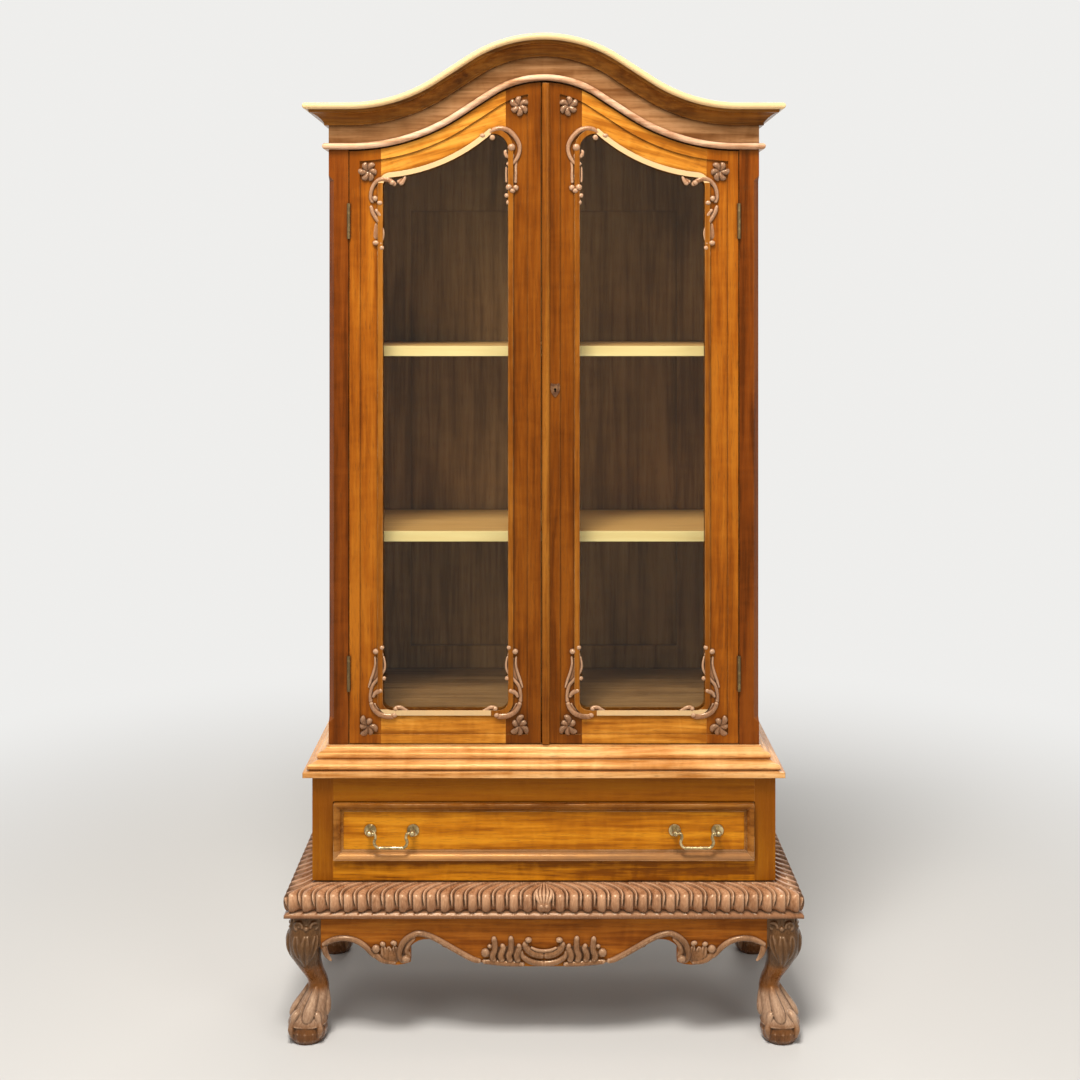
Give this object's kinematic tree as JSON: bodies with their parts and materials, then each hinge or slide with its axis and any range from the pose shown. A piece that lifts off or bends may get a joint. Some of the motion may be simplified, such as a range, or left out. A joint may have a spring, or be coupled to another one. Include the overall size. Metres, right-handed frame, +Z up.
{
  "type": "display cabinet",
  "caption": "Glazed display cabinet with an arched cornice, hinged glass doors, shelves, a long drawer with bail handles and a carved stand on cabriole legs.",
  "frame": {"origin": "floor level, under the middle of the bounding box", "axes": "+Z up, +X to the viewer's right when facing the doors, +Y from the doors to the back"},
  "size_m": [1.082, 0.513, 2.106],
  "materials": {
    "polished_mahogany": "polished, warm red-brown",
    "carved_mahogany": "waxed carving, dark brown",
    "pale_edge_shelf": "satin, paler than the case",
    "plain_inner_wood": "plain, unpolished",
    "window_glass": "clear window glass",
    "aged_brass": "aged brass"
  },
  "bodies": {
    "cabinet": {"gadroon_moulding": "carved_mahogany", "front_apron": "polished_mahogany", "side_aprons": "polished_mahogany", "rear_apron": "plain_inner_wood", "front_left_leg": "carved_mahogany", "front_right_leg": "carved_mahogany", "rear_legs": "carved_mahogany", "base_front_frame": "polished_mahogany", "base_sides": "polished_mahogany", "base_back": "plain_inner_wood", "dust_board": "plain_inner_wood", "drawer_runners": "plain_inner_wood", "waist_board": "polished_mahogany", "waist_moulding": "polished_mahogany", "case_posts": "polished_mahogany", "left_side_panel": "polished_mahogany", "right_side_panel": "polished_mahogany", "back_frame": "plain_inner_wood", "frieze_board": "polished_mahogany", "cornice_front": "polished_mahogany", "cornice_returns": "polished_mahogany", "frieze_bead": "polished_mahogany", "ceiling_board": "plain_inner_wood", "case_floor": "plain_inner_wood", "plinth_rail": "polished_mahogany", "lower_shelf": "pale_edge_shelf", "upper_shelf": "pale_edge_shelf", "shelf_bearers": "plain_inner_wood", "case_hinge_leaves": "aged_brass"},
    "left_door": {"left_door_hinge_stile": "polished_mahogany", "left_door_meeting_stile": "polished_mahogany", "left_door_top_rail": "polished_mahogany", "left_door_bottom_rail": "polished_mahogany", "left_door_glass": "window_glass", "left_door_beads": "polished_mahogany", "left_door_carvings": "carved_mahogany", "left_door_hinge_leaves": "aged_brass", "door_bolt_barrels": "aged_brass"},
    "right_door": {"right_door_hinge_stile": "polished_mahogany", "right_door_meeting_stile": "polished_mahogany", "right_door_top_rail": "polished_mahogany", "right_door_bottom_rail": "polished_mahogany", "right_door_glass": "window_glass", "right_door_beads": "polished_mahogany", "right_door_carvings": "carved_mahogany", "right_door_hinge_leaves": "aged_brass", "astragal": "polished_mahogany", "keyhole_shield": "aged_brass", "lock_case": "aged_brass"},
    "drawer": {"drawer_front": "polished_mahogany", "drawer_sides": "plain_inner_wood", "drawer_bottom": "plain_inner_wood", "drawer_front_moulding": "polished_mahogany", "handle_posts": "aged_brass"},
    "left_bail": {"left_bail": "aged_brass"},
    "right_bail": {"right_bail": "aged_brass"},
    "lock_bolt": {"lock_bolt": "aged_brass"},
    "top_door_bolt": {"top_door_bolt": "aged_brass"},
    "bottom_door_bolt": {"bottom_door_bolt": "aged_brass"}
  },
  "joints": [
    {"name": "left_door_swing", "type": "hinge", "parent": "cabinet", "child": "left_door", "pos_m": [-0.414, -0.1763, 0], "axis": [0, 0, -1], "range_deg": [0, 110]},
    {"name": "right_door_swing", "type": "hinge", "parent": "cabinet", "child": "right_door", "pos_m": [0.414, -0.1763, 0], "axis": [0, 0, 1], "range_deg": [0, 110]},
    {"name": "drawer_slide", "type": "slide", "parent": "cabinet", "child": "drawer", "axis": [0, -1, 0], "range_m": [0, 0.3]},
    {"name": "left_bail_swing", "type": "hinge", "parent": "drawer", "child": "left_bail", "pos_m": [-0.32, -0.2235, 0.432], "axis": [-1, 0, 0], "range_deg": [0, 85]},
    {"name": "right_bail_swing", "type": "hinge", "parent": "drawer", "child": "right_bail", "pos_m": [0.32, -0.2235, 0.432], "axis": [-1, 0, 0], "range_deg": [0, 85]},
    {"name": "lock_bolt_slide", "type": "slide", "parent": "right_door", "child": "lock_bolt", "axis": [-1, 0, 0], "range_m": [0, 0.012]},
    {"name": "top_bolt_slide", "type": "slide", "parent": "left_door", "child": "top_door_bolt", "axis": [0, 0, 1], "range_m": [0, 0.01]},
    {"name": "bottom_bolt_slide", "type": "slide", "parent": "left_door", "child": "bottom_door_bolt", "axis": [0, 0, -1], "range_m": [0, 0.01]}
  ]
}
